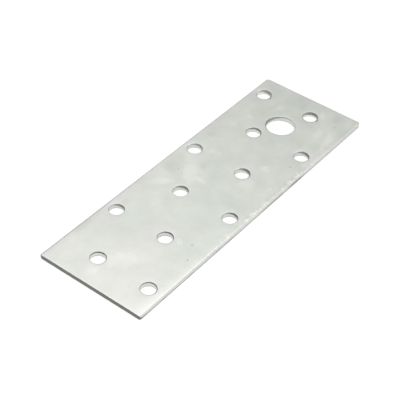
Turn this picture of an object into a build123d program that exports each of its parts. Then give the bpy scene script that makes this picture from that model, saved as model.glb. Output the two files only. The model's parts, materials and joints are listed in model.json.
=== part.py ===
# Mending plate: one flat length of galvanised steel strip, punched for nails and one bolt.
# It lies along X on Z = 0, with the origin under its middle. Sizes are in millimetres.

from build123d import *

import os
from math import atan, degrees, radians, sin

# sheet
thickness = 1.8
strip_width = 40.0
cutting_allowance = 2.0  # left on the sheet outside each cut

# slit long edges: the knife pulled the sheet down a little before it cut
slit_droop_width = 1.6
slit_droop = 0.06
slit_corner_radius = 0.6

# cropped ends: the same, but sharp
crop_droop_width = 0.6
crop_droop = 0.02
crop_corner_radius = 0.08

plate_corner_radius = 0.5
skim = 0.005  # every rounding starts this far off the surface that it rounds, so that it crosses it cleanly

# every cut wall: an upright land above, and the broken zone that leans back under it
broken_height = 0.6
broken_lean = 0.1

# staggered rows of nail holes
row_count = 6
row_pitch = 20.0
hole_pitch_across = 20.0
near_end_margin = 10.2
far_end_margin = 8.6
punch_line_shift = 0.4  # the strip ran this far to one side of the punches

# punches
nail_hole_radius = 2.5
bolt_hole_radius = 5.0
bolt_hole_beyond_row = 9.1  # from the last row but one
roll_over_radius = 0.15

plate_length = near_end_margin + (row_count - 1) * row_pitch + far_end_margin
first_row_x = near_end_margin - plate_length / 2
stagger = hole_pitch_across / 4

# the nail holes are two equal grids: rows 1, 3, 5 and, a pitch further on, rows 2, 4, 6
odd_rows_centre = (first_row_x + 2 * row_pitch, punch_line_shift - stagger)
even_rows_centre = (first_row_x + 3 * row_pitch, punch_line_shift + stagger)
bolt_hole_x = first_row_x + (row_count - 2) * row_pitch + bolt_hole_beyond_row
bolt_hole_centre = (bolt_hole_x, punch_line_shift)


def trim_outline(half_size, droop_width, droop, corner_radius):
    """Outline that trims two opposite edges of the sheet, taller than the sheet above and below.

    From the flat outwards: a droop on one wide arc, a rounded corner, the upright land, and the broken zone.
    """
    droop_angle = 2 * degrees(atan(droop / droop_width))
    droop_radius = droop_width / sin(radians(droop_angle))
    corner_width = corner_radius * (1 - sin(radians(droop_angle)))
    flat_end = (half_size - corner_width - droop_width, thickness + skim)
    drooping = JernArc(start=flat_end, tangent=(1, 0), radius=droop_radius, arc_size=-droop_angle)
    corner = JernArc(
        start=drooping @ 1, tangent=drooping % 1, radius=corner_radius, arc_size=droop_angle - 90
    )
    foot = (half_size - 2 * broken_lean, -broken_height)
    Polyline(corner @ 1, (half_size, broken_height), foot, (0, foot[1]))
    Polyline(flat_end, (flat_end[0], 2 * thickness), (0, 2 * thickness))
    mirror(about=Plane.YZ)


def punched_hole(land_radius):
    """What a punch takes out, as a turned shape: the cone broken out below, the upright land, and the roll-over.

    The roll-over is a quarter circle.
    """
    with BuildPart() as hole:
        with BuildSketch(Plane.XZ):
            with BuildLine():
                roll_over = CenterArc(
                    center=(land_radius + roll_over_radius, thickness + skim - roll_over_radius),
                    radius=roll_over_radius,
                    start_angle=90,
                    arc_size=90,
                )
                Polyline(
                    roll_over @ 1,
                    (land_radius, broken_height),
                    (land_radius + 2 * broken_lean, -broken_height),
                    (0, -broken_height),
                    (0, 2 * thickness),
                    (land_radius + roll_over_radius, 2 * thickness),
                    roll_over @ 0,
                )
            make_face()
        revolve(axis=Axis.Z)
    return hole.part


nail_hole = punched_hole(nail_hole_radius)
bolt_hole = punched_hole(bolt_hole_radius)

with BuildPart() as plate:
    Box(
        plate_length + 2 * cutting_allowance,
        strip_width + 2 * cutting_allowance,
        thickness,
        align=(Align.CENTER, Align.CENTER, Align.MIN),
    )

    # punched from above
    with Locations(odd_rows_centre, even_rows_centre):
        with GridLocations(2 * row_pitch, hole_pitch_across, row_count // 2, 2):
            add(nail_hole, mode=Mode.SUBTRACT)
    with Locations(bolt_hole_centre):
        add(bolt_hole, mode=Mode.SUBTRACT)

    # long edges slit, the same all along
    with BuildSketch(Plane.YZ):
        with BuildLine():
            trim_outline(strip_width / 2, slit_droop_width, slit_droop, slit_corner_radius)
        make_face()
    extrude(amount=plate_length, both=True, mode=Mode.INTERSECT)

    # ends cropped, the same all across
    with BuildSketch(Plane.XZ):
        with BuildLine():
            trim_outline(plate_length / 2, crop_droop_width, crop_droop, crop_corner_radius)
        make_face()
    extrude(amount=strip_width, both=True, mode=Mode.INTERSECT)

    # the four corners are blunt
    with BuildSketch(Plane.XY.offset(-thickness)):
        RectangleRounded(plate_length + 2 * skim, strip_width + 2 * skim, plate_corner_radius)
    extrude(amount=3 * thickness, mode=Mode.INTERSECT)

plate.part.label = "plate"

os.makedirs("parts", exist_ok=True)
export_step(plate.part, "parts/plate.step")
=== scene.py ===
# Mending plate: a flat strip of galvanised steel, punched for nails and one bolt, on a white table.

import json
from math import radians

import bpy
import numpy as np
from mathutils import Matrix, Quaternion, Vector


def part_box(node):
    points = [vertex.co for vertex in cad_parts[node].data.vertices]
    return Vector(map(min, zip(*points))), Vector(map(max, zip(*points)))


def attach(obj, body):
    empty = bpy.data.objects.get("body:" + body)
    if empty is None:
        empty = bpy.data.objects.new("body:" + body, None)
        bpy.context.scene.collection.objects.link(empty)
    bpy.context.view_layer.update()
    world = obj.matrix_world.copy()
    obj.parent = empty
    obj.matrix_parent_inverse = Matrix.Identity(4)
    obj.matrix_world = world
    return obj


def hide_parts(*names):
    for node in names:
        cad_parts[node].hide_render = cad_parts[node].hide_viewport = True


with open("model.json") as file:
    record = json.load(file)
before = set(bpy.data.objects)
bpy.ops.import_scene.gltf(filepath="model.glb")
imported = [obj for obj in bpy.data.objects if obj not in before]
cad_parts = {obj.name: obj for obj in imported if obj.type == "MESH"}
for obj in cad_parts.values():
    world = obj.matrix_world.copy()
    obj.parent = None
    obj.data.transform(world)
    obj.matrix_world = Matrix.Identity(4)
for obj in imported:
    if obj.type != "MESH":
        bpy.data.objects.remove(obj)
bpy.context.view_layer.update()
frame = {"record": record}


# ---- Plate: sheet --------------------------------------------------------------------------------------
# Cold-rolled steel, zinc coated in the coil, then slit, punched from above and cropped to length. It isn't
# quite flat: it keeps long shallow waves from the coil, and sinks a little round each punched hole.

MM = 0.001  # the plate's own sizes below are in millimetres
low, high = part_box("plate")
half_length = (high.x - low.x) / 2 / MM
half_width = (high.y - low.y) / 2 / MM
thickness = (high.z - low.z) / MM

nail_centres = []
for mount in frame["record"]["mounts"]:
    dims = mount["dims"]
    centre = np.array(mount["pos_m"][:2]) / MM
    if mount["kind"] == "bolt_pattern":
        nail_radius = dims["hole_r_mm"]
        along = dims.get("spacing_x_mm", 0) / 2
        across = dims["spacing_y_mm"] / 2
        for offset in sorted({(i * along, j * across) for i in (-1, 1) for j in (-1, 1)}):
            nail_centres.append(centre + offset)
    if mount["kind"] == "bore":
        bolt_radius = dims["r_mm"]
        bolt_centre = centre
nail_centres = np.array(sorted(map(tuple, nail_centres)))

# the coil's waves: any heading, any length between these two, and all about as steep
shortest_wave = 9
longest_wave = 34
wave_count = 14
wave_steepness = 0.0002
random = np.random.default_rng(11)
wave_length = random.uniform(shortest_wave, longest_wave, wave_count)
wave_heading = random.uniform(0, np.pi, wave_count)
wave_phase = random.uniform(0, 2 * np.pi, wave_count)
wave_height = wave_steepness * wave_length

# slit edges: a droop, a rounded corner, and a wide shallow bow. The tapers say how much each grows
# towards the near end
slit_droop = 0.06
slit_droop_width = 1.6
droop_taper = 0.9
slit_corner = 0.6
corner_taper = 0.28
bow = 0.05
bow_width = 5.0
far_edge_share = 0.4  # the far slit edge droops and bows this much of what the near one does
crop_corner = 0.06

# the dish round each hole, and how far the skin lies below the flat top, so that no wave passes it
dish_depth = 0.02
dish_reach = 1.2
skin_depth = 0.03

# bumps and dents in the skin: place along and across, radius, height
marks = [
    (-5.6, 2.9, 0.45, 0.03),
    (-36.2, -14.2, 0.4, 0.02),
    (-34.6, -12.3, 0.35, -0.03),
    (18.2, -13.4, 0.5, -0.02),
    (-44.6, -11.0, 0.5, 0.015),
]


def slit_corner_at(share):
    """The slit corner's radius at a share of the half length, -1 to 1: corner times (1 - taper share)."""
    return slit_corner * (1 - corner_taper * share)


def relief(x, y):
    """How far the top skin lies above or below its flat, in millimetres.

    The sum of plane cosine waves, each height times cos(2 pi (x cos a + y sin a) / length + phase), less
    these: the skin's depth, a parabola and a quarter circle along each slit edge, a wider and shallower
    parabola there on the near half, a smaller quarter circle along each cropped end, and a bell round
    each hole. Each mark adds a small bell.
    """
    turns = (
        np.multiply.outer(x, np.cos(wave_heading) / wave_length)
        + np.multiply.outer(y, np.sin(wave_heading) / wave_length)
    )
    height = (wave_height * np.cos(2 * np.pi * turns + wave_phase)).sum(-1) - skin_depth
    to_slit = half_width - np.abs(y)
    to_crop = half_length - np.abs(x)
    side = np.where(y < 0, 1, far_edge_share)
    taper = (1 - droop_taper * x / half_length) * side
    height = height - slit_droop * taper * np.clip(1 - to_slit / (slit_droop_width * taper), 0, 1) ** 2
    bowed = bow * side * np.clip(-x / half_length, 0, 1)
    height = height - bowed * np.clip(1 - to_slit / bow_width, 0, 1) ** 2
    for distance, corner in ((to_slit, slit_corner_at(x / half_length)), (to_crop, crop_corner)):
        height = height - corner + np.sqrt(corner**2 - np.clip(corner - distance, 0, corner) ** 2)
    holes = [(cx, cy, nail_radius) for cx, cy in nail_centres] + [(*bolt_centre, bolt_radius)]
    for cx, cy, radius in holes:
        beyond = np.clip(np.hypot(x - cx, y - cy) - radius, 0, None)
        height = height - dish_depth * np.exp(-((beyond / dish_reach) ** 2))
    for cx, cy, radius, rise in marks:
        height = height + rise * np.exp(-((x - cx) ** 2 + (y - cy) ** 2) / radius**2)
    return height


patch_points = []
patch_faces = []
patch_cut = []
patch_zinc_and_painted_shade = []


def add_patch(points, faces, cut, zinc_and_painted_shade):
    """Keeps one patch of the plate's skin: points (n, 3), quads (m, 4), and two masks, a value a point.

    cut is 0 on the rolled skin and 1 where a tool went through the steel; on the holes' roll-overs it also
    marks painted shade. The second mask is the share of a cut that zinc covers, and on the hole walls it
    also holds painted shade on the land and painted light on the torn zone.
    """
    start = sum(len(earlier) for earlier in patch_points)
    patch_points.append(points)
    patch_faces.append(faces + start)
    patch_cut.append(cut)
    patch_zinc_and_painted_shade.append(zinc_and_painted_shade)


def net_faces(rows, columns, wrapped):
    """Quads of a net of points stored row by row. wrapped joins the last column to the first."""
    down = np.arange(rows - 1)[:, None]
    across = np.arange(columns if wrapped else columns - 1)
    a = down * columns + across
    b = down * columns + (across + 1) % columns
    return np.stack([a, a + columns, b + columns, b], -1).reshape(-1, 4)


# the ruled sheet stops at a frame inside the plate's edges. Its last lines are closer, this far inside the
# frame, and the even ones stop the least gap before it
pitch = 0.5
frame_inset = 1.4
frame_x = half_length - frame_inset
frame_y = half_width - frame_inset
last_lines = np.array([0.2, 0.1, 0])
least_gap = 0.4


def ruled_lines(through, half_size):
    """Lines a pitch apart, one of them through a hole's centre, with closer ones at the frame's sides."""
    steps = int(half_size / pitch) + 2
    lines = through % pitch + pitch * np.arange(-steps, steps)
    lines = lines[np.abs(lines) < half_size - least_gap]
    ends = half_size - last_lines
    return np.concatenate([-ends[::-1], lines, ends])


x_lines = ruled_lines(nail_centres[0, 0], frame_x)
y_lines = ruled_lines(nail_centres[0, 1], frame_y)

# each hole takes a square block out of the ruled sheet, a whole number of pitches wide
nail_block = 3.0
bolt_block = 6.0
blocks = [(centre, centre, nail_radius, nail_block) for centre in nail_centres]
on_line = nail_centres[0] + np.round((bolt_centre - nail_centres[0]) / pitch) * pitch
blocks.append((on_line, bolt_centre, bolt_radius, bolt_block))

xx, yy = np.meshgrid(x_lines, y_lines, indexing="ij")
mid_x = (xx[1:, 1:] + xx[:-1, :-1]) / 2
mid_y = (yy[1:, 1:] + yy[:-1, :-1]) / 2
outside_blocks = np.ones(mid_x.shape, bool)
for block_centre, _, _, reach in blocks:
    beyond_x = np.abs(mid_x - block_centre[0]) > reach
    beyond_y = np.abs(mid_y - block_centre[1]) > reach
    outside_blocks &= beyond_x | beyond_y
sheet_faces = net_faces(*xx.shape, False)[outside_blocks.ravel()]
uncut = np.zeros(xx.size)
top = np.stack([xx, yy, thickness + relief(xx, yy)], -1).reshape(-1, 3)
under = np.stack([xx, yy, np.zeros(xx.shape)], -1).reshape(-1, 3)
add_patch(top, sheet_faces, uncut, uncut)
add_patch(under, sheet_faces[:, ::-1], uncut, uncut)


# ---- Plate: punched walls ------------------------------------------------------------------------------
# A punch leaves a rolled-over rim, then an upright land that it rubbed smooth and dark, then a zone that
# tore away wider than the punch and carries zinc that the punch dragged down. Over that bare steel and
# zinc, painted shade darkens the rim and land on each hole's deep side, and painted light lightens the
# torn zone and the shallow side. The torn line wanders.

hole_lean = 0.03  # out from the land, at the foot of the torn zone
torn_wander = 0.06  # of the line between land and torn zone
torn_ragged = 0.02  # of the torn zone's face
least_torn = 0.15
least_land = 0.1
land_step = 0.03  # closer rings at both ends of the land keep it straight
torn_step = 0.02
wear_heading = -118  # towards the near right corner

# degrees round the rim's roll-over: where the bare steel and its painted shade start, how much later on
# the shallow side, and over how many degrees they come in
bare_and_shade_start = 92
bare_and_shade_delay = 40
bare_and_shade_blend = 15


def wander(angles, seed, amount, slowest=2, fastest=13):
    """A line that wanders round a hole: the sum of cosines of whole-number turns, with seeded phases."""
    turns = np.arange(slowest, fastest)
    phases = np.random.default_rng(seed).uniform(0, 2 * np.pi, len(turns))
    return amount * np.cos(np.multiply.outer(angles, turns) + phases).sum(-1) / np.sqrt(len(turns))


# Each punch is worn, and sits off centre in its die, in its own way. For each hole in the order of the
# blocks: the rim's roll-over, how high the torn zone reaches, how far that line tilts, the heading in
# degrees in which the land is deepest, the share of the land and of the torn zone that zinc covers, which
# also paints shade on the land and light on the torn zone, and how much wider the rim rolled over on its
# worn side
punch_wear_and_wall_shade = [
    (0.2, 1.45, 0.1, -20, 0.0, 0.9, 1.5),
    (0.2, 1.4, 0.1, 10, 0.0, 0.9, 1.3),
    (0.22, 1.5, 0.2, -10, 0.0, 0.82, 0.8),
    (0.22, 1.3, 0.6, -20, 0.15, 0.82, 0.0),
    (0.25, 1.45, 0.5, -25, 0.0, 0.82, 0.0),
    (0.25, 1.35, 0.5, -10, 0.1, 0.79, 0.0),
    (0.3, 1.2, 0.6, -30, 0.05, 0.86, 0.8),
    (0.3, 1.35, 0.5, -30, 0.3, 0.8, 0.5),
    (0.3, 1.2, 0.6, -35, 0.1, 0.8, 0.3),
    (0.3, 1.3, 0.3, -10, 0.15, 0.86, 0.8),
    (0.35, 0.95, 0.35, 10, 0.15, 1.0, 0.9),
    (0.35, 1.0, 0.5, -20, 0.25, 1.0, 0.9),
    (0.3, 1.2, 0.6, 115, 0.15, 0.82, 0.0),
]

for (block_centre, centre, radius, reach), wear in zip(blocks, punch_wear_and_wall_shade):
    roll_over, torn_height, torn_tilt, deep_heading, land_zinc_and_shade, torn_zinc_and_light, widening = wear
    count = int(round(2 * reach / pitch))
    side = np.arange(count) * pitch - reach
    edge = np.full(count, reach)
    square = np.concatenate(
        [np.stack(pair, -1) for pair in ((edge, side), (-side, edge), (-edge, -side), (side, -edge))]
    )
    angles = -np.pi / 4 + 2 * np.pi * np.arange(4 * count) / (4 * count)
    ray = np.stack([np.cos(angles), np.sin(angles)], -1)
    worn_side = (0.5 + 0.5 * np.cos(angles - radians(wear_heading))) ** 4
    roll_over = roll_over * (1 + widening * worn_side)

    seed = round(1000 + 10 * centre[0] + centre[1])
    land_top = thickness - roll_over
    torn = torn_height + wander(angles, seed, torn_wander)
    torn = torn - torn_tilt * np.cos(angles - radians(deep_heading))
    torn = np.clip(torn, least_torn, land_top - least_land)
    ragged = wander(angles, seed + 1, torn_ragged, 6, 22)

    # zinc was dragged up over the land on its shallow side, and more of the rim kept its zinc there; this
    # also paints light on that side, and leaves painted shade on the deep side
    shallow_side = 0.5 - 0.5 * np.cos(angles - radians(deep_heading))
    dragged_zinc_and_light = (torn_zinc_and_light - land_zinc_and_shade) * min(1, torn_tilt / 0.5) * shallow_side
    land_zinc_and_shade = np.clip(land_zinc_and_shade + dragged_zinc_and_light, 0, 1)

    # wall profile from the rim down: distance out from the land, height, cut mask, wiped mask (which also
    # carries the painted light and shade)
    rows = []
    for t in np.linspace(90, 180, 10):
        out = roll_over * (1 + np.cos(radians(t)))
        height = thickness - roll_over * (1 - np.sin(radians(t)))
        bare_and_shade = np.clip((t - bare_and_shade_start - bare_and_shade_delay * shallow_side**2) / bare_and_shade_blend, 0, 1)
        rows.append((out, height, bare_and_shade, land_zinc_and_shade))
    # the land: bare steel, darkest with painted shade on its deep side
    for height in (land_top - land_step, (land_top + torn) / 2, torn + torn_step):
        rows.append((0 * angles, height, 1.0, land_zinc_and_shade))
    # the torn zone: dragged zinc, lightened with painted light
    for share in (0.0, 0.3, 0.65, 1.0):
        out = hole_lean * (0.25 + 0.75 * share) + ragged * (0.4 + 0.6 * share)
        rows.append((out, torn * (1 - share), 1.0, torn_zinc_and_light))

    # rings of points: from the square block's edge to the rim, down the wall, and back under the sheet
    points = []
    cut = []
    zinc_and_painted_shade = []
    rim = centre + (radius + roll_over)[:, None] * ray
    for share in (0.0, 0.45, 0.8):
        spot = (block_centre + square) * (1 - share) + rim * share
        points.append(np.column_stack([spot, thickness + relief(*spot.T)]))
        cut.append(0 * angles)
        zinc_and_painted_shade.append(0 * angles)
    for out, height, is_cut, is_wiped in rows:
        spot = centre + (radius + out)[:, None] * ray
        points.append(np.column_stack([spot, height + relief(*spot.T) * height / thickness]))
        cut.append(is_cut + 0 * angles)
        zinc_and_painted_shade.append(is_wiped + 0 * angles)
    foot = points[-1][:, :2]
    for share in (0.0, 0.5, 1.0):
        spot = (block_centre + square) * share + foot * (1 - share)
        points.append(np.column_stack([spot, np.zeros(len(spot))]))
        cut.append(0 * angles)
        zinc_and_painted_shade.append(0 * angles)
    add_patch(
        np.concatenate(points),
        net_faces(len(points), 4 * count, True)[:, ::-1],
        np.concatenate(cut),
        np.concatenate(zinc_and_painted_shade),
    )


# ---- Plate: slit and cropped edges ---------------------------------------------------------------------
# The long edges were slit and the ends cropped. Both walls have a land above and a torn zone below, like
# the holes. The slitting knife rounded its corner over and wiped zinc down the wall. The cropped ends are
# sharp and bare.

# the outline as shares of the half length and half width, -1 to 1, from the near right corner and round
# anticlockwise, seen from above
u_steps = x_lines / frame_x
v_steps = y_lines / frame_y
u_ones = np.ones(len(v_steps) - 1)
v_ones = np.ones(len(u_steps) - 1)
outline_u = np.concatenate([u_steps[:-1], u_ones, u_steps[:0:-1], -u_ones])
outline_v = np.concatenate([-v_ones, v_steps[:-1], v_ones, v_steps[:0:-1]])
step_length = np.hypot(np.diff(outline_u * half_length), np.diff(outline_v * half_width))
way_round = np.concatenate([[0], np.cumsum(step_length)])
way_round = way_round / (way_round[-1] + pitch) * 2 * np.pi
along_slit = np.abs(outline_v) == 1

# handling blunted each corner in its own way, the far left one most
far_left_corner = 1.35
far_right_corner = 0.8
near_corner = 0.7
plate_corner = np.where(outline_v > 0, far_left_corner, far_right_corner)
plate_corner = np.where(outline_u > 0, plate_corner, near_corner)

broken_lean = 0.1
broken_height = 0.6
broken_wander = 0.05
broken_ragged = 0.015
least_edge_land = 0.15
edge_torn = broken_height + wander(way_round, 31, broken_wander, 8, 90)
edge_ragged = wander(way_round, 32, broken_ragged, 30, 160)

points = []
cut = []
zinc_and_painted_shade = []


def edge_ring(inset_crop, inset_slit):
    """One ring round the plate, along and across: the outline times the half sizes less the insets.

    The last plate_corner of each side bends round a quarter ellipse: a point a share s along that stretch
    goes to 45 s degrees from where the ellipse meets its side.
    """
    end_x = half_length - inset_crop
    end_y = half_width - inset_slit
    x = outline_u * end_x
    y = outline_v * end_y
    bend_x = np.maximum(plate_corner - inset_crop, 1e-6)
    bend_y = np.maximum(plate_corner - inset_slit, 1e-6)
    from_x = end_x - np.abs(x)
    from_y = end_y - np.abs(y)
    bends = (from_x < bend_x) & (from_y < bend_y)
    share = np.where(along_slit, 1 - from_x / bend_x, 1 - from_y / bend_y)
    angle = np.where(along_slit, radians(90) - radians(45) * share, radians(45) * share)
    bent_x = end_x - bend_x * (1 - np.cos(angle))
    bent_y = end_y - bend_y * (1 - np.sin(angle))
    return np.where(bends, np.sign(x) * bent_x, x), np.where(bends, np.sign(y) * bent_y, y)


def edge_row(inset_crop, inset_slit, height, is_cut, zinc):
    """Keeps one ring's points, all at the height given for them, with their masks."""
    x, y = edge_ring(inset_crop, inset_slit)
    points.append(np.column_stack([x, y, height + 0 * x]))
    cut.append(is_cut + 0 * x)
    zinc_and_painted_shade.append(zinc + 0 * x)


# top skin from the sheet's frame out, round the slit and the cropped corners
for inset in (frame_inset, 1.2, 1.0, 0.8):
    edge_row(inset, inset, thickness + relief(*edge_ring(inset, inset)), 0.0, 0.0)
for turn in np.radians(np.linspace(0, 90, 10)):
    insets = crop_corner * (1 - np.sin(turn)), slit_corner_at(outline_u) * (1 - np.sin(turn))
    edge_row(*insets, thickness + relief(*edge_ring(*insets)), 0.0, 0.0)

# zinc that the knife wiped down the slit walls. Towards the far end there is less of it on the wall and
# more of it at the foot, and it thins out over the last few millimetres before the near end
near_end_thinning = 3
to_near_end = (1 + outline_u) * half_length
wall_zinc = along_slit * (0.95 - 0.2 * np.clip(outline_u, 0, 1))
wall_zinc = wall_zinc * np.clip(to_near_end / near_end_thinning, 0.1, 1)
foot_zinc = along_slit * np.clip(0.15 + 0.3 * outline_u, 0, 1)
low_land_zinc = 0.85
torn_top_zinc = 0.75

# stretches where it flaked off: middle, half length, how much of it
flaked = [
    (20, 4, 0.8),
    (7, 7, 0.4),
    (-16, 3, 0.3),
]
for middle, half_stretch, loss in flaked:
    left = 1 - loss * np.exp(-(((outline_u * half_length - middle) / half_stretch) ** 4))
    wall_zinc = wall_zinc * left
    foot_zinc = foot_zinc * left

# the wall: the land, the broken zone, and the underside back to the sheet's frame
land_top = points[-1][:, 2]
edge_torn = np.minimum(edge_torn, land_top - least_edge_land)
edge_row(0, 0, land_top - land_step, 1.0, wall_zinc)
edge_row(0, 0, (land_top + edge_torn) / 2, 1.0, wall_zinc)
edge_row(0, 0, edge_torn + torn_step, 1.0, wall_zinc * low_land_zinc)
for share in (0.0, 0.3, 0.65, 1.0):
    lean = broken_lean * (0.2 + 0.8 * share) + edge_ragged * (0.4 + 0.6 * share)
    upper = (1 - share) ** 5
    zinc_left = wall_zinc * torn_top_zinc * upper + foot_zinc * (1 - upper)
    edge_row(lean, lean, edge_torn * (1 - share), 1.0, zinc_left)
edge_row(0.3, 0.3, 0.0, 0.0, 0.0)
edge_row(frame_inset, frame_inset, 0.0, 0.0, 0.0)
add_patch(
    np.concatenate(points),
    net_faces(len(points), len(outline_u), True),
    np.concatenate(cut),
    np.concatenate(zinc_and_painted_shade),
)


# ---- Plate: mesh ---------------------------------------------------------------------------------------
# The patches meet point to point, and one closed skin is made of them. Each point also says what happened
# to the steel there: cut or not, wiped with zinc, spotted, pitted or rubbed, and where light and shade are
# painted into its colour.

# where handling left the zinc paler or duller, where small pits show bare steel, where painted light and
# shade make it lighter or darker over a wider stretch, and where it is less green, partly its own tint and
# partly the neutral colour of painted highlights: along, across, half length, half width, heading in
# degrees, strength
spots = {
    "pale": [
        (-0.2, 8.8, 5.0, 2.3, 35, 1.5),
        (-1.0, 3.4, 2.6, 0.9, 80, 1.3),
        (-9.5, 13.2, 3.8, 1.5, -45, 1.4),
        (-45.0, -0.9, 4.6, 3.6, -40, 1.5),
        (-54.0, 3.1, 2.8, 1.7, 30, 0.9),
        (-52.0, 12.0, 8.0, 4.0, 30, 0.3),
        (-27.8, -9.2, 1.6, 1.0, 60, 1.2),
        (-20.0, 5.6, 5.5, 2.2, 90, 0.4),
        (7.0, -9.4, 3.0, 2.8, 0, 1.3),
        (17.5, -8.9, 1.9, 1.7, 70, 1.1),
        (10.0, -16.4, 1.1, 1.0, 0, 1.0),
        (14.5, 9.0, 2.0, 5.0, 0, 0.4),
        (30.0, 13.6, 2.2, 1.6, 60, 0.9),
        (37.0, 11.6, 2.4, 1.5, 20, 0.9),
        (47.5, 6.4, 3.2, 1.3, -20, 0.8),
        (44.0, -12.4, 4.4, 1.8, 15, 1.1),
        (42.5, -17.0, 5.2, 1.5, 15, 1.1),
        (54.4, -7.6, 3.2, 1.3, 30, 0.8),
        (-58.0, -18.0, 3.5, 2.0, 40, 0.4),
        (-44.0, -17.5, 6.0, 1.8, 10, 0.5),
        (28.5, -18.5, 3.0, 1.4, 0, 0.9),
    ],
    "dull": [
        (0.0, 15.6, 5.2, 2.8, 10, 1.2),
        (5.8, 7.8, 2.4, 1.6, 10, 0.9),
        (11.8, 8.6, 1.1, 1.1, 0, 0.8),
        (-41.0, 18.2, 6.0, 1.3, 0, 0.7),
        (-28.0, 2.9, 4.5, 3.0, 30, 0.5),
        (-25.0, 15.4, 2.2, 2.0, 0, 0.9),
        (20.5, 15.6, 1.6, 1.8, 0, 0.9),
        (35.0, -10.9, 2.4, 1.4, 10, 0.9),
        (54.0, 0.6, 4.0, 2.6, 30, 0.8),
        (56.0, -12.9, 3.4, 2.0, 20, 0.9),
        (1.0, -15.4, 9.0, 2.8, 0, 0.4),
        (24.0, 2.0, 8.0, 5.0, 20, 0.3),
        (-36.0, 9.0, 5.0, 8.0, 0, 0.25),
    ],
    "pit": [
        (-26.5, -13.1, 0.9, 0.7, 20, 0.8),
        (-32.5, -16.1, 0.7, 0.45, 15, 1.0),
        (-26.3, -7.6, 0.6, 0.45, 60, 0.7),
        (23.8, -14.9, 0.9, 0.4, -40, 1.0),
        (-52.5, -9.6, 0.7, 0.4, 30, 0.8),
        (-39.0, -15.7, 0.5, 0.4, 0, 0.85),
        (-1.0, 12.9, 0.7, 0.5, 30, 0.85),
        (51.4, -14.4, 1.0, 0.6, 80, 0.8),
        (-30.0, -18.6, 0.7, 0.5, 0, 0.6),
    ],
    # painted light and shade: wide stretches made lighter or darker in the zinc's colour, not by the lamps
    "painted_light_and_shade": [
        (8.0, -9.0, 14.0, 7.0, 0, -0.12),
        (8.0, 14.0, 18.0, 5.0, 0, 0.2),
        (27.0, 7.0, 5.0, 6.0, 0, 0.15),
        (-25.0, -8.0, 4.0, 4.0, 0, -0.2),
        (-36.0, -15.0, 12.0, 6.0, 0, -0.08),
        (54.0, 5.0, 5.0, 8.0, 0, -0.15),
        (-53.0, -18.0, 4.0, 2.0, 0, 0.2),
        (-42.0, 19.6, 24.0, 1.5, 0, -0.3),
        (50.0, -19.6, 10.0, 1.6, 0, -0.25),
    ],
    # less green: partly the zinc's own tint, partly the neutral colour of the highlights, painted in over
    # the near end and along both slit edges
    "neutral": [
        (-62.0, -2.0, 33.0, 40.0, 0, 0.8),
        (48.0, 18.0, 9.0, 5.0, 0, 0.5),
        (32.0, -19.0, 7.0, 3.0, 0, 0.5),
        (-8.0, 19.0, 12.0, 4.0, 0, 0.4),
        (0.0, -19.8, 80.0, 1.0, 0, 0.7),
        (0.0, 19.8, 80.0, 1.5, 0, 0.8),
    ],
}


def spot_mask(kind, x, y):
    """How strongly each point lies in one kind of spot: a sum of turned oval bells.

    Each is strength times exp(-r^2), where r is the distance from its centre over its half length and half
    width.
    """
    total = np.zeros(len(x))
    for along, across, half_long, half_wide, heading, strength in spots[kind]:
        c = np.cos(radians(heading))
        s = np.sin(radians(heading))
        u = ((x - along) * c + (y - across) * s) / half_long
        v = ((y - across) * c - (x - along) * s) / half_wide
        total += strength * np.exp(-(u**2) - v**2)
    return total


# a band along the near slit edge that was rubbed on other steel
rub_inset = 0.8
rub_half_width = 1.1
rub_middle = 4
rub_half_length = 30


def rub_mask(x, y):
    """How much the skin was rubbed: exp(-v^2) exp(-u^4), from the band's middle over its half sizes."""
    v = (y + half_width - rub_inset) / rub_half_width
    u = (x - rub_middle) / rub_half_length
    return np.exp(-(v**2)) * np.exp(-(u**4))


# points that round to the same place are one
weld_steps = 20000  # in each millimetre
all_points = np.concatenate(patch_points)
all_faces = np.concatenate(patch_faces)
keys = np.round(all_points * weld_steps).astype(np.int64)
_, first, place = np.unique(keys, axis=0, return_index=True, return_inverse=True)
place = place.ravel()
mesh = bpy.data.meshes.new("plate_skin")
mesh.from_pydata((all_points[first] * MM).tolist(), [], place[all_faces].tolist())
mesh.validate()
masks = {kind: spot_mask(kind, *all_points[first, :2].T) for kind in spots}
masks["rub"] = rub_mask(*all_points[first, :2].T)
for name, values in (("cut", patch_cut), ("zinc_and_painted_shade", patch_zinc_and_painted_shade)):
    masks[name] = np.zeros(len(first))
    np.maximum.at(masks[name], place, np.concatenate(values))
for name, mask in masks.items():
    mesh.attributes.new(name, "FLOAT", "POINT").data.foreach_set("value", mask.astype(np.float32))
mesh.polygons.foreach_set("use_smooth", np.ones(len(mesh.polygons), bool))
mesh.update()
plate = bpy.data.objects.new("punched_plate", mesh)
bpy.context.scene.collection.objects.link(plate)


def new_material(name):
    """An empty node material with its output, and its node tree."""
    material = bpy.data.materials.new(name)
    material.use_nodes = True
    tree = material.node_tree
    tree.nodes.clear()
    return material, tree, tree.nodes.new("ShaderNodeOutputMaterial")


def add_node(tree, kind, inputs=None, **settings):
    """Adds one node with its settings. An input that is another node's output is linked."""
    node = tree.nodes.new("ShaderNode" + kind)
    for name, value in settings.items():
        setattr(node, name, value)
    for key, value in (inputs or {}).items():
        if isinstance(value, bpy.types.NodeSocket):
            tree.links.new(value, node.inputs[key])
        else:
            node.inputs[key].default_value = value
    return node


def linear(hex_colour):
    """An sRGB hex colour as the linear RGBA that a socket takes."""
    parts = np.array([int(hex_colour[i : i + 2], 16) for i in (1, 3, 5)]) / 255
    parts = np.where(parts <= 0.04045, parts / 12.92, ((parts + 0.055) / 1.055) ** 2.4)
    return (*parts, 1.0)


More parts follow.
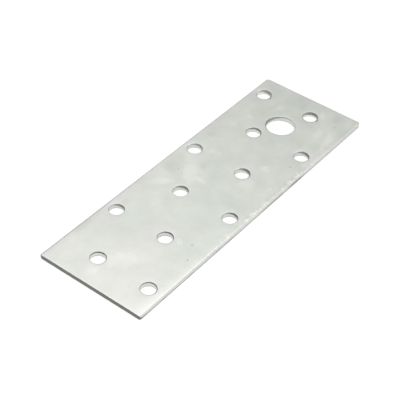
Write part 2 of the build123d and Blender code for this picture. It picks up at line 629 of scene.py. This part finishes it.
# Pre-galvanised steel: zinc dulled in storage, so it glows softly and mirrors nothing. It gives a pale
# greenish grey with cloudy patches a few millimetres wide. Its grain is finer than this can show, so it
# is drawn at half a millimetre, and only softens the reflections.
# Sheared steel: bare steel that the tool dragged, darker and browner. Where the tool wiped zinc over it,
# it is nearly as light as the skin. On the hole walls the mix of the two also paints shade on the land and
# light on the torn zone.
zinc_dark = linear("#cbcdc9")
zinc_light = linear("#e5e5e1")
tint_green = linear("#fbfffb")
tint_neutral = linear("#fffefe")
bare_steel = linear("#767671")
wiped_steel = linear("#e6e6e3")

cloud_size = 6.0 * MM
fray_size = 2.2 * MM
tint_cloud_size = 11.0 * MM
scratch_length = 6.0 * MM
scratch_width = 0.6 * MM
nick_size = 1.2 * MM
grain_size = 0.5 * MM
grain_height = 0.004 * MM

material, tree, output = new_material("pre_galvanised_zinc_and_sheared_steel")
place_on_plate = add_node(tree, "TexCoord").outputs["Object"]
cut, zinc_and_painted_shade, pale, dull, pit, painted_light_and_shade, neutral, rub = (
    add_node(tree, "Attribute", attribute_name=name).outputs["Fac"]
    for name in ("cut", "zinc_and_painted_shade", *spots, "rub")
)

# how light the zinc is, 0 to 1: clouds with frayed rims, and the wide stretches of painted light and shade
cloud = add_node(
    tree,
    "TexNoise",
    {"Vector": place_on_plate, "Scale": 1 / cloud_size, "Detail": 4.0, "Roughness": 0.55},
).outputs["Fac"]
cloud_share = add_node(
    tree,
    "MapRange",
    {"Value": cloud, "From Min": 0.25, "From Max": 0.75, "To Min": 0.2, "To Max": 0.6},
).outputs[0]
frayed = add_node(
    tree,
    "TexNoise",
    {"Vector": place_on_plate, "Scale": 1 / fray_size, "Detail": 5.0, "Roughness": 0.75},
).outputs["Fac"]
fray_depth = 0.28
zinc_share = add_node(
    tree, "Math", {0: frayed, 1: fray_depth, 2: cloud_share}, operation="MULTIPLY_ADD"
).outputs[0]
# adds the wide stretches of painted light and shade
zinc_share = add_node(tree, "Math", {0: zinc_share, 1: painted_light_and_shade}, operation="ADD").outputs[0]

# the frayed noise moves each spot's rim in and out and mottles its middle
rim_fray = 1.8
for spot, smooth_depth, crisp_depth in ((pale, 0.08, 0.22), (dull, -0.12, -0.15)):
    ragged = add_node(
        tree, "Math", {0: frayed, 1: rim_fray, 2: spot}, operation="MULTIPLY_ADD"
    ).outputs[0]
    crisp = add_node(
        tree,
        "MapRange",
        {"Value": ragged, "From Min": 1.22, "From Max": 1.65, "To Max": crisp_depth},
        interpolation_type="SMOOTHSTEP",
    ).outputs[0]
    smooth = add_node(
        tree, "Math", {0: spot, 1: smooth_depth, 2: crisp}, operation="MULTIPLY_ADD"
    ).outputs[0]
    zinc_share = add_node(tree, "Math", {0: zinc_share, 1: smooth}, operation="ADD").outputs[0]

# short pale scratches that run one way, and a rubbed band with pale nicks in it
scratch_scale = (1 / scratch_length, 1 / scratch_width, 0)
scratch_lines = add_node(
    tree,
    "Mapping",
    {"Vector": place_on_plate, "Rotation": (0, 0, radians(-40)), "Scale": scratch_scale},
).outputs[0]
scratches = add_node(
    tree,
    "TexNoise",
    {"Vector": scratch_lines, "Scale": 1.0, "Detail": 1.0, "Roughness": 0.5},
).outputs["Fac"]
scratch_share = add_node(
    tree, "MapRange", {"Value": scratches, "From Min": 0.66, "From Max": 0.78, "To Max": 0.2}
).outputs[0]
nicks = add_node(
    tree,
    "TexNoise",
    {"Vector": place_on_plate, "Scale": 1 / nick_size, "Detail": 2.0, "Roughness": 0.5},
).outputs["Fac"]
nick_share = add_node(
    tree,
    "MapRange",
    {"Value": nicks, "From Min": 0.48, "From Max": 0.62, "To Min": -0.3, "To Max": 0.5},
).outputs[0]
rubbed_share = add_node(
    tree, "Math", {0: rub, 1: nick_share, 2: scratch_share}, operation="MULTIPLY_ADD"
).outputs[0]
zinc_share = add_node(
    tree, "Math", {0: zinc_share, 1: rubbed_share}, operation="ADD", use_clamp=True
).outputs[0]
zinc = add_node(
    tree, "Mix", {0: zinc_share, 6: zinc_dark, 7: zinc_light}, data_type="RGBA"
).outputs[2]

# its tint wanders between slightly green and neutral; the neutral spots are partly the zinc's own tint and
# partly painted highlight colour at the near end and along the slit edges
tint_cloud = add_node(
    tree,
    "TexNoise",
    {"Vector": place_on_plate, "Scale": 1 / tint_cloud_size, "Detail": 2.0, "Roughness": 0.5},
).outputs["Fac"]
tint_share = add_node(
    tree,
    "MapRange",
    {"Value": tint_cloud, "From Min": 0.4, "From Max": 0.6, "To Min": -0.25, "To Max": 0.55},
).outputs[0]
tint_share = add_node(
    tree, "Math", {0: tint_share, 1: neutral}, operation="ADD", use_clamp=True
).outputs[0]
tint = add_node(
    tree, "Mix", {0: tint_share, 6: tint_green, 7: tint_neutral}, data_type="RGBA"
).outputs[2]
tinted = add_node(
    tree, "Mix", {0: 1.0, 6: zinc, 7: tint}, data_type="RGBA", blend_type="MULTIPLY"
).outputs[2]

# pits half show the steel, and cuts show it where no zinc was wiped over it; on the hole walls that mix
# also paints their shade and light
pit_share = add_node(
    tree,
    "MapRange",
    {"Value": pit, "From Min": 0.4, "From Max": 0.9, "To Max": 0.5},
    interpolation_type="SMOOTHSTEP",
).outputs[0]
pitted = add_node(tree, "Mix", {0: pit_share, 6: tinted, 7: bare_steel}, data_type="RGBA").outputs[2]
steel = add_node(tree, "Mix", {0: zinc_and_painted_shade, 6: bare_steel, 7: wiped_steel}, data_type="RGBA").outputs[2]
skin = add_node(tree, "Mix", {0: cut, 6: pitted, 7: steel}, data_type="RGBA").outputs[2]

# light zinc is slightly rougher than dark
roughness = add_node(
    tree, "MapRange", {"Value": zinc_share, "To Min": 0.38, "To Max": 0.44}
).outputs[0]
grain = add_node(
    tree,
    "TexNoise",
    {"Vector": place_on_plate, "Scale": 1 / grain_size, "Detail": 2.0, "Roughness": 0.5},
).outputs["Fac"]
grain_bump = add_node(
    tree, "Bump", {"Height": grain, "Strength": 1.0, "Distance": grain_height}
).outputs[0]
shader = add_node(
    tree,
    "BsdfPrincipled",
    {"Metallic": 1.0, "Base Color": skin, "Roughness": roughness, "Normal": grain_bump},
).outputs[0]
tree.links.new(shader, output.inputs["Surface"])
mesh.materials.append(material)

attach(plate, "root")
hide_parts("plate")


# ---- Table and studio ----------------------------------------------------------------------------------
# A white table that runs out to a white background. An arch of soft panels rises beside the near long
# edge, leans over the far end at its top, and comes down beyond the far long edge.

# matt grey, which keeps the plate's shadow. It also glows, but lights nothing: only the camera and what
# reflects or shows it see the glow
table_grey = linear("#5c5c5c")
table_glow = 0.95
material, tree, output = new_material("white_table")
light_path = add_node(tree, "LightPath").outputs
matt = add_node(tree, "BsdfDiffuse", {"Color": table_grey}).outputs[0]
glow = add_node(tree, "Emission", {"Strength": table_glow}).outputs[0]
seen = add_node(
    tree,
    "Math",
    {0: light_path["Is Camera Ray"], 1: light_path["Is Glossy Ray"]},
    operation="MAXIMUM",
).outputs[0]
seen = add_node(
    tree, "Math", {0: seen, 1: light_path["Is Transmission Ray"]}, operation="MAXIMUM"
).outputs[0]
both = add_node(tree, "AddShader", {0: matt, 1: glow}).outputs[0]
surface = add_node(tree, "MixShader", {0: seen, 1: matt, 2: both}).outputs[0]
tree.links.new(surface, output.inputs["Surface"])

table_half_size = 4.0  # metres
corners = [(-1, -1), (1, -1), (1, 1), (-1, 1)]
table_mesh = bpy.data.meshes.new("table")
table_points = [(x * table_half_size, y * table_half_size, low.z) for x, y in corners]
table_mesh.from_pydata(table_points, [], [(0, 1, 2, 3)])
table_mesh.materials.append(material)
table = bpy.data.objects.new("table", table_mesh)
bpy.context.scene.collection.objects.link(table)

world = bpy.data.worlds.new("studio")
bpy.context.scene.world = world
world.use_nodes = True
tree = world.node_tree
tree.nodes.clear()
output = tree.nodes.new("ShaderNodeOutputWorld")
light_path = add_node(tree, "LightPath").outputs
direction = add_node(tree, "TexCoord").outputs["Generated"]

# soft panels round the plate: heading and height in degrees, and strength
panels = [
    (-60, 15, 0.82),
    (-65, 38, 0.82),
    (-70, 62, 1.08),
    (-25, 62, 0.84),
    (0, 86, 1.08),
    (20, 62, 0.84),
    (65, 62, 1.08),
    (70, 38, 0.28),
]
panel_reach = radians(27)
room_light = 0.4

# light falls from a panel's middle to its rim as a smooth step in the cosine of the angle between them
studio = room_light
for heading, height, panel_strength in panels:
    towards = (
        np.cos(radians(height)) * np.cos(radians(heading)),
        np.cos(radians(height)) * np.sin(radians(heading)),
        np.sin(radians(height)),
    )
    cosine = add_node(
        tree, "VectorMath", {0: direction, 1: towards}, operation="DOT_PRODUCT"
    ).outputs["Value"]
    panel = add_node(
        tree,
        "MapRange",
        {"Value": cosine, "From Min": np.cos(panel_reach), "From Max": 1.0, "To Max": panel_strength},
        interpolation_type="SMOOTHSTEP",
    ).outputs[0]
    studio = add_node(tree, "Math", {0: studio, 1: panel}, operation="ADD").outputs[0]

# the camera sees plain white instead
strength = add_node(
    tree, "Mix", {0: light_path["Is Camera Ray"], 2: studio, 3: 1.0}, data_type="FLOAT"
).outputs[0]
sky = add_node(tree, "Background", {"Color": (1, 1, 1, 1), "Strength": strength}).outputs[0]
tree.links.new(sky, output.inputs["Surface"])


# ---- Camera --------------------------------------------------------------------------------------------
# It looks down over the near end and the near long edge from about 38 cm, tipped slightly to one side.

azimuth = radians(-53.61)
elevation = radians(41.92)
roll = radians(2.61)
distance = 0.3757  # metres
aim = Vector((-0.0086, -0.00214, high.z))
camera = bpy.data.objects.new("camera", bpy.data.cameras.new("camera"))
back = Vector((
    np.sin(azimuth) * np.cos(elevation), -np.cos(azimuth) * np.cos(elevation), np.sin(elevation)
))
camera.location = aim + distance * back
camera.rotation_mode = "QUATERNION"
camera.rotation_quaternion = Quaternion(back, roll) @ back.to_track_quat("Z", "Y")
camera.data.sensor_width = 36.0
camera.data.lens = 105.2
camera.data.clip_start = 0.01
bpy.context.scene.collection.objects.link(camera)
bpy.context.scene.camera = camera
bpy.context.scene.view_settings.view_transform = "Standard"

bpy.context.view_layer.update()
